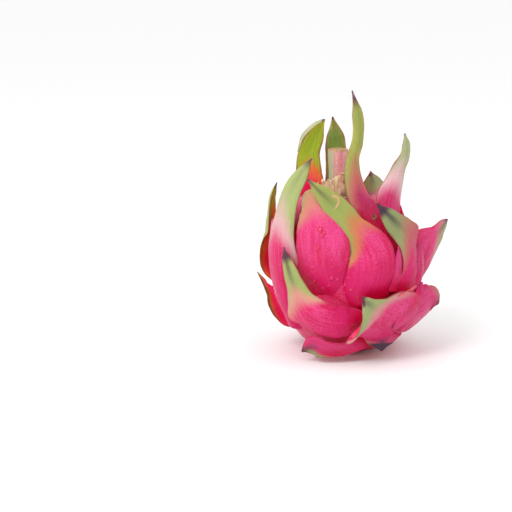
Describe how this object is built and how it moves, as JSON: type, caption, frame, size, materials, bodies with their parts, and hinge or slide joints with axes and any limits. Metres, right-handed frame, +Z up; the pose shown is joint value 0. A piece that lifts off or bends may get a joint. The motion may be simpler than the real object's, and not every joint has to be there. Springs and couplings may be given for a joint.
{
  "type": "dragon fruit",
  "caption": "Whole red dragon fruit standing on its base, clad in fleshy pointed bracts with green tips, with a cut flower stump in its crown.",
  "frame": {"origin": "on the surface that the fruit stands on, under the middle of its bounding box", "axes": "+Z up along the fruit's height, from its resting spot to its crown; the front of the fruit faces -Y, and +X is to the right of someone who looks at the front"},
  "size_m": [0.1008, 0.1012, 0.1391],
  "materials": {
    "peel": "satin",
    "stump_flesh": "matte",
    "dry_scrap": "matte"
  },
  "bodies": {
    "root": {"fruit": "peel", "flower_stump": "stump_flesh", "dry_flower_scrap": "dry_scrap"}
  },
  "joints": []
}
